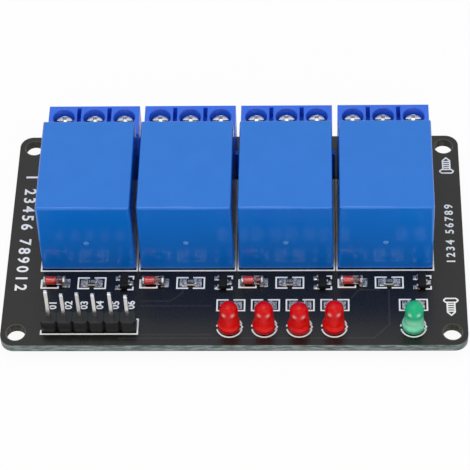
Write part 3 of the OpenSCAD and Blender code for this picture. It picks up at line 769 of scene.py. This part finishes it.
def make_terminals():
    """Blocks and contact bars; each screw and each cage rides on a body of its own."""
    for n in CHANNELS:
        bm = clean_copy(f"terminal_housing_{n}", edge=0.09 * MM, sharp=35)
        finish_piece(
            f"terminal_block_{n}", bm, terminal_nylon, replaced=[f"terminal_housing_{n}"]
        )
    for n in CLAMPS:
        bm = clean_copy(f"terminal_screw_{n}", edge=0.04 * MM, sharp=35)
        cut_thread(bm, f"terminal_screw_{n}")
        finish_piece(
            f"clamp_screw_{n}", bm, steel, f"screw_{n}", replaced=[f"terminal_screw_{n}"]
        )
        bm = clean_copy(f"terminal_cage_{n}", edge=0.05 * MM, sharp=35)
        finish_piece(
            f"clamp_cage_{n}", bm, cage_steel, f"cage_{n}", replaced=[f"terminal_cage_{n}"]
        )
    bm = clean_copy("terminal_contacts", edge=0.05 * MM)
    finish_piece("contact_bars", bm, brass, replaced=["terminal_contacts"])


# ---------------------------------------------------------------- pin header


def header_cell(bm, cell_low, cell_high):
    """One cell of the strip, with cut corners and rounded rims."""
    notch = 0.4 * MM
    rim = 0.08 * MM
    verts = bmesh.ops.create_grid(bm, x_segments=1, y_segments=1, size=0.5)["verts"]
    size = cell_high - cell_low
    spot = Vector((*middle((cell_low, cell_high)).xy, cell_low.z))
    place = Matrix.Translation(spot) @ Matrix.Diagonal((size.x, size.y, 1, 1))
    bmesh.ops.transform(bm, matrix=place, verts=verts)
    bevel(bm, verts, notch, 1, "VERTICES")
    floor = next(f for f in bm.faces if (f.calc_center_median() - spot).length < WELD)
    raised = bmesh.ops.extrude_face_region(bm, geom=[floor])["geom"]
    top = next(g for g in raised if isinstance(g, bmesh.types.BMFace))
    bmesh.ops.translate(bm, verts=top.verts, vec=(0, 0, size.z))
    sides = {f for v in top.verts for f in v.link_faces}
    bevel(bm, {e for f in sides for e in f.edges}, rim)


def make_header():
    """Six joined cells and six pins; pins differ a little in height, and most lean."""
    low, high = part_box("header_strip")
    pitch = pins[1][0].x - pins[0][0].x
    body = bmesh.new()
    for pin in pins:
        x = middle(pin).x
        cell = bmesh.new()
        header_cell(cell, Vector((x - pitch / 2, low.y, low.z)), Vector((x + pitch / 2, high.y, high.z)))
        bmesh.ops.recalc_face_normals(cell, faces=cell.faces)
        absorb(body, cell)
    finish_piece("header_body", body, header_nylon, replaced=["header_strip"])
    bm = bmesh.new()
    rises = (0.75, -0.15, 0.12, -0.15, 0.15, -0.55)
    leans = (1.4, 0.2, -0.2, -0.9, 0.4, 0.0)
    for pin, rise, lean in zip(pins, rises, leans):
        one = bmesh.new()
        add_block(one, pin[0], pin[1] + UP * rise * MM)
        ends = [e for e in one.edges if abs(e.verts[0].co.z - e.verts[1].co.z) < WELD]
        bevel(one, ends, 0.17 * MM, 1)
        round_edges(one, 0.05 * MM, 1, 60)
        foot = Vector((*middle(pin).xy, high.z))
        above = [v for v in one.verts if v.co.z > foot.z]
        bmesh.ops.rotate(one, cent=foot, matrix=Matrix.Rotation(radians(lean), 3, "Y"), verts=above)
        absorb(bm, one)
    finish_piece("header_contact_pins", bm, pin_plate, replaced=["header_pins"])


# ---------------------------------------------------------------- indicator lamps


def lens_profile(height):
    """Radius and height of a 3 mm lamp: bottom, flange, neck, wall and dome."""
    r, flange, wall = 1.5, 1.9, height / MM - 1.5
    dome = [(r * cos(a), wall + r * sin(a)) for a in (radians(6 * i) for i in range(0, 16))]
    points = [
        (0, 0.0), (flange - 0.12, 0.0), (flange - 0.03, 0.04), (flange, 0.14), (flange, 0.66),
        (flange - 0.04, 0.78), (flange - 0.12, 0.87), (r + 0.16, 0.96), (r + 0.07, 1.06),
        (r + 0.02, 1.22), (r, 1.45), (r, 2.3), (r, 3.2), (r, 3.6), (r, 3.85),
    ]
    points += dome[:-1] + [(0, height / MM)]
    return [(a * MM, b * MM) for a, b in points]


def mark_painted_frame_glint(bm, foot):
    """Marks painted highlights where the tops of anvil and post would shine through, on both sides of the
    lens.
    """
    layer = bm.verts.layers.float.new("painted_frame_glint")
    reach = 0.27 * MM
    tops = [foot + Vector((x, y, 4.3)) * MM for x in (-0.78, 0.62) for y in (-1.25, 1.25)]
    for vert in bm.verts:
        near = min((vert.co - top).length for top in tops) / reach
        vert[layer] = exp(-near * near)


def make_lamps():
    """Lenses with a flat on the flange; some lean, with the part of the leads inside them."""
    names = [f"channel_led_{n}" for n in CHANNELS] + ["power_led"]
    leans = (0.0, 0.5, 3.5, -1.0, 0.0)
    frames = clean_copy("led_leads", edge=0.04 * MM, segments=1)
    for name, (low, high), lean in zip(names, lenses, leans):
        foot = Vector((*middle((low, high)).xy, low.z))
        lean_matrix = Matrix.Rotation(radians(lean), 3, "X")
        bm = bmesh.new()
        add_turned(bm, lens_profile(high.z - low.z), foot, UP, 56)
        close_turned(bm)
        flat, flange_top = foot.x + 1.66 * MM, low.z + 0.9 * MM
        for vert in bm.verts:
            if vert.co.z < flange_top and vert.co.x > flat:
                vert.co.x = flat
        mark_painted_frame_glint(bm, foot)
        bmesh.ops.rotate(bm, cent=foot, matrix=lean_matrix, verts=bm.verts)
        inside = [v for v in frames.verts if v.co.z > foot.z and abs(v.co.x - foot.x) < 2 * MM]
        bmesh.ops.rotate(frames, cent=foot, matrix=lean_matrix, verts=inside)
        epoxy, slot = (red_epoxy, "red_lens") if "channel" in name else (green_epoxy, "green_lens")
        finish_piece(name.replace("led", "lens"), bm, epoxy, replaced=[name])
    finish_piece("lamp_leads", frames, tin, replaced=["led_leads"])


def make_lamp_frames():
    """The anvil and the post beside it, as two flat blocks inside each lens."""
    bm = bmesh.new()
    for low, high in lenses:
        foot = Vector((*middle((low, high)).xy, low.z))
        for x0, x1, depth, top in ((-1.0, -0.12, 0.3, 3.1), (0.3, 0.95, 0.24, 2.95)):
            near = foot + Vector((x0, -depth, 0.2)) * MM
            far = foot + Vector((x1, depth, top)) * MM
            add_block(bm, near, far, edge=0.08 * MM)
    finish_piece("lamp_inner_frames", bm, tin)


# ---------------------------------------------------------------- small surface parts


def make_pads():
    """Copper lands with their solder, under every surface part."""
    bm = bmesh.new()
    thick = 0.05 * MM
    for cap in chip_caps:
        c = middle(cap)
        chip = min(chips, key=lambda b: (middle(b) - c).length)
        side = 1 if c.x > middle(chip).x else -1
        outer = cap[1].x if side > 0 else cap[0].x
        add_pad(bm, outer - side * 0.45 * MM, outer + side * 0.8 * MM, c.y, 1.45 * MM, thick)
        add_fillet(bm, Vector((outer, c.y, TOP + thick)), side, 0.62 * MM, 1.2 * MM, 0.38 * MM)
    for n in CHANNELS:
        low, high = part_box(f"flyback_diode_{n}")
        y = middle((low, high)).y
        cap = 0.4 * MM
        add_pad(bm, low.x - cap - 0.25 * MM, low.x + 0.15 * MM, y, 1.7 * MM, thick)
        add_pad(bm, high.x - 0.15 * MM, high.x + cap + 0.75 * MM, y, 1.7 * MM, thick)
        add_fillet(bm, Vector((high.x + cap, y, TOP + thick)), 1, 0.6 * MM, 1.4 * MM, 0.5 * MM)
        add_fillet(bm, Vector((low.x - cap, y, TOP + thick)), -1, 0.22 * MM, 1.4 * MM, 0.45 * MM)
    for lead in transistor_feet():
        c = middle(lead)
        add_pad(bm, lead[0].x - 0.25 * MM, lead[1].x + 0.25 * MM, c.y, 0.85 * MM, thick)
    finish_piece("soldered_pads", bm, solder, smooth=50)


def transistor_feet():
    """The box of each lead of each small transistor, out beyond its body."""
    bodies = [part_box(f"transistor_{n}") for n in CHANNELS]
    feet = []
    for lead in boxes_of("transistor_leads"):
        c = middle(lead)
        body = min(bodies, key=lambda b: (middle(b) - c).length)
        if c.x < middle(body).x:
            feet.append((lead[0], Vector((body[0].x, lead[1].y, lead[1].z))))
        else:
            feet.append((Vector((body[1].x, lead[0].y, lead[0].z)), lead[1]))
    return feet


def add_pad(bm, x0, x1, y, width, thick):
    """A thin copper land that runs from x0 to x1 along the board."""
    low = Vector((min(x0, x1), y - width / 2, TOP))
    high = Vector((max(x0, x1), y + width / 2, TOP + thick))
    add_block(bm, low, high, edge=0.02 * MM, segments=1)


def add_fillet(bm, foot, side, reach, width, height):
    """Solder that climbs a part's end: a wedge with a hollow face."""
    steps = 5
    shares = [i / steps for i in range(steps + 1)]
    seen = [
        bm.verts.new(foot + Vector((side * reach * a, -width / 2, height * (1 - a) ** 2)))
        for a in shares
    ]
    heel = bm.verts.new(foot + Vector((0, -width / 2, 0)))
    face = bm.faces.new([heel] + seen[::-1])
    made = bmesh.ops.extrude_face_region(bm, geom=[face])["geom"]
    moved = [v for v in made if isinstance(v, bmesh.types.BMVert)]
    bmesh.ops.translate(bm, verts=moved, vec=(0, width, 0))
    region = {f for v in seen + moved for f in v.link_faces}
    bmesh.ops.recalc_face_normals(bm, faces=list(region))


def make_chips():
    """Chip resistors: ceramic with a glazed top, a plain code and soldered end caps."""
    bm = clean_copy("chip_resistors", edge=0.04 * MM)
    for face in bm.faces:
        c = face.calc_center_median()
        if face.normal.z > 0.9 and c.z > TOP + 0.3 * MM:
            face.material_index = 1
    finish_piece("resistor_chips", bm, [ceramic, glaze], replaced=["chip_resistors"])
    for n, chip in enumerate(chips, 1):
        c = middle(chip)
        level = chip[1].z - 0.6 * FILM
        print_number(f"chip_code_{n}", "102", (c.x, c.y), 0.72 * MM, 0, level=level, ink=grey_ink)
    bm = clean_copy("resistor_caps", edge=0.04 * MM)
    finish_piece("resistor_end_caps", bm, solder, replaced=["resistor_caps"])


def make_transistors():
    """Small moulded transistors and their feet."""
    for n in CHANNELS:
        node = f"transistor_{n}"
        bm = clean_copy(node, edge=0.07 * MM)
        finish_piece(f"transistor_case_{n}", bm, epoxy_black, replaced=[node])
    bm = clean_copy("transistor_leads", edge=0.03 * MM)
    finish_piece("transistor_feet", bm, solder, replaced=["transistor_leads"])


def make_diodes():
    """Glass diodes and their end caps, with the stud and the whisker that show inside."""
    along = Vector((1, 0, 0))
    for n in CHANNELS:
        node = f"flyback_diode_{n}"
        low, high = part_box(node)
        c = middle((low, high))
        half = (high.x - low.x) / 2
        r = (high.z - low.z) / 2
        hull = [
            (0, -half), (r - 0.08 * MM, -half), (r, -half + 0.1 * MM),
            (r, half - 0.1 * MM), (r - 0.08 * MM, half), (0, half),
        ]
        turned_piece(f"diode_glass_{n}", hull, c, along, 32, clear_glass, [node])
        end = half - 0.02 * MM
        stud = [
            (0, -end), (0.86 * r, -end), (0.88 * r, 0.1 * half), (0.7 * r, 0.18 * half),
            (0, 0.18 * half),
        ]
        turned_piece(f"diode_stud_{n}", stud, c, along, 24, stud_plastic)
        whisker = [
            (0, 0.19 * half), (0.3 * r, 0.2 * half), (0.2 * r, 0.38 * half),
            (0.62 * r, 0.8 * half), (0.66 * r, end), (0, end),
        ]
        turned_piece(f"diode_whisker_{n}", whisker, c, along, 24, whisker_red)
    bm = clean_copy("diode_caps", edge=0.05 * MM)
    finish_piece("diode_end_caps", bm, solder, replaced=["diode_caps"])


# ---------------------------------------------------------------- traces and solder side


def make_traces():
    """Tracks under the mask on the component side."""
    bm = bmesh.new()
    rise = 0.014 * MM
    tracks = [
        [(-15.2, -13.4), (-10.3, -13.4), (-8.4, -11.7), (-8.4, -10.6)],
        [(-15.2, -14.4), (-3.6, -14.4)],
        [(-18.5, -20.9), (22.5, -20.9), (25.0, -18.2), (25.0, -11.2)],
        [(-18.5, -20.2), (-3.4, -20.2)],
        [(18.9, -12.9), (20.2, -11.2), (23.6, -11.2)],
    ]
    for track in tracks:
        ribbon(bm, [(x * MM, y * MM) for x, y in track], TOP, TOP + rise)
    finish_lines("mask_tracks", bm, 0.3 * MM, mask_copper)


def make_solder_side():
    """Soldered joints with a wetted ring round each, and the tracks of the underside."""
    bm = clean_copy("solder_joints")
    finish_piece("solder_cones", bm, solder, smooth=50, replaced=["solder_joints"])
    under = board[0].z
    bm = bmesh.new()
    ring = [(0.8, 0.0), (1.2, 0.0), (1.22, 0.03), (1.18, 0.06), (0.8, 0.07), (0.8, 0.0)]
    for joint in boxes_of("solder_joints"):
        centre = Vector((*middle(joint).xy, under))
        add_turned(bm, [(r * MM, h * MM) for r, h in ring], centre, -UP, 28)
    close_turned(bm)
    finish_piece("solder_rings", bm, solder)
    make_contact_tracks(under)
    make_signal_tracks(under)


def make_contact_tracks(under):
    """Broad tracks that carry the switched current from each relay to its terminal block."""
    joints = sorted((middle(j) for j in boxes_of("solder_joints")), key=lambda j: j.x)
    reach, switched_row, common_row = 7 * MM, 5 * MM, -8 * MM
    bm = bmesh.new()
    for n in CHANNELS:
        block_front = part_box(f"terminal_housing_{n}")[0].y
        own = [j for j in joints if abs(j.x - channel_x[n]) < reach]
        ends = [j for j in own if j.y > block_front]
        back = [j for j in own if switched_row < j.y < block_front]
        common = next(j for j in own if abs(j.x - channel_x[n]) < MM and common_row < j.y < 0)
        for start, end in ((back[0], ends[0]), (common, ends[1]), (back[-1], ends[2])):
            ribbon(bm, [start.xy, end.xy], under - 0.035 * MM, under + 0.01 * MM)
    finish_lines("contact_tracks", bm, 2.1 * MM, mask_copper)


def make_signal_tracks(under):
    """Thin tracks from the header pins to the channels' transistors."""
    bm = bmesh.new()
    furthest, step, corner = 5.1 * MM, 0.75 * MM, 0.6 * MM
    for n in CHANNELS:
        pin = middle(pins[n])
        drive = middle(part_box(f"transistor_{n}"))
        row = pin.y + furthest - step * n
        path = [
            (pin.x, pin.y), (pin.x, row - corner), (pin.x + corner, row), (drive.x - corner, row),
            (drive.x, row + corner), (drive.x, drive.y),
        ]
        ribbon(bm, path, under - 0.03 * MM, under + 0.01 * MM)
    finish_lines("signal_tracks", bm, 0.35 * MM, mask_copper)


# ---------------------------------------------------------------- stage


def direct_sight(tree):
    """1 where the camera sees the backdrop, also by way of a gloss or through a lens."""
    rays = add_node(tree, "LightPath").outputs
    some = add_node(
        tree, "Math", {"operation": "MAXIMUM"}, {0: rays["Is Camera Ray"], 1: rays["Is Glossy Ray"]}
    ).outputs[0]
    inputs = {0: some, 1: rays["Is Transmission Ray"]}
    return add_node(tree, "Math", {"operation": "MAXIMUM"}, inputs).outputs[0]


def make_floor():
    """A plain pale floor that shows as white and keeps the board's shadow."""
    material, tree, shader = new_material(
        "pale_floor", base_color=(0.93, 0.93, 0.93), roughness=0.9, specular_ior_level=0.1
    )
    glow = add_node(tree, "Emission", None, {"Color": (1, 1, 1, 1), "Strength": 1.0})
    white_share = 0.93
    share = add_node(
        tree, "Math", {"operation": "MULTIPLY"}, {0: direct_sight(tree), 1: white_share}
    )
    mixed = add_node(tree, "MixShader", None, {0: share.outputs[0]})
    tree.links.new(shader.outputs[0], mixed.inputs[1])
    tree.links.new(glow.outputs[0], mixed.inputs[2])
    tree.links.new(mixed.outputs[0], tree.nodes["Material Output"].inputs["Surface"])
    bm = bmesh.new()
    bmesh.ops.create_grid(bm, x_segments=4, y_segments=4, size=1.5)
    clear = 0.05 * MM
    bmesh.ops.translate(bm, verts=bm.verts, vec=(0, 0, cad_box[0][2] - clear))
    mesh = bpy.data.meshes.new("floor")
    bm.to_mesh(mesh)
    bm.free()
    floor = bpy.data.objects.new("floor", mesh)
    mesh.materials.append(material)
    bpy.context.scene.collection.objects.link(floor)


def make_world():
    """Even light from all round, at half strength, from a sky that shows as plain white."""
    world = bpy.data.worlds.new("studio")
    bpy.context.scene.world = world
    world.use_nodes = True
    tree = world.node_tree
    background = tree.nodes["Background"]
    white = direct_sight(tree)
    level = add_node(tree, "MapRange", None, {"Value": white, "To Min": 0.5, "To Max": 1.0})
    tree.links.new(level.outputs["Result"], background.inputs["Strength"])
    background.inputs["Color"].default_value = (1, 1, 1, 1)


def add_softbox(name, place, size, power):
    """A square soft light that points at the middle of the board."""
    light = bpy.data.lights.new(name, "AREA")
    light.shape = "SQUARE"
    light.size = size
    light.energy = power
    lamp = bpy.data.objects.new(name, light)
    lamp.location = place
    lamp.rotation_euler = (-Vector(place)).to_track_quat("-Z", "Y").to_euler()
    bpy.context.scene.collection.objects.link(lamp)


def make_camera():
    """A long lens in front of the board, looking down on it."""
    data = bpy.data.cameras.new("camera")
    data.lens = 170.22
    data.sensor_width = 36.0
    data.clip_start = 0.01
    camera = bpy.data.objects.new("camera", data)
    place = Matrix.Translation((0.01363, -0.232742, 0.286527))
    heading = Matrix.Rotation(0.0591, 4, "Z")
    tilt = Matrix.Rotation(0.6866, 4, "X")
    roll = Matrix.Rotation(-0.049, 4, "Z")
    camera.matrix_world = place @ heading @ tilt @ roll
    bpy.context.scene.collection.objects.link(camera)
    bpy.context.scene.camera = camera


def make_stage():
    """Floor, world and two soft lights."""
    make_floor()
    make_world()
    add_softbox("top_light", (-0.06, -0.08, 0.65), 0.5, 1.8)
    add_softbox("front_light", (0.15, -0.6, 0.4), 0.5, 0.85)
    scene = bpy.context.scene
    scene.view_settings.view_transform = "Standard"


# ---------------------------------------------------------------- all of it

make_camera()
make_stage()
make_board()
make_hole_rims()
make_print()
make_numbers()
make_traces()
make_relays()
make_terminals()
make_header()
make_lamps()
make_lamp_frames()
make_pads()
make_chips()
make_transistors()
make_diodes()
make_solder_side()
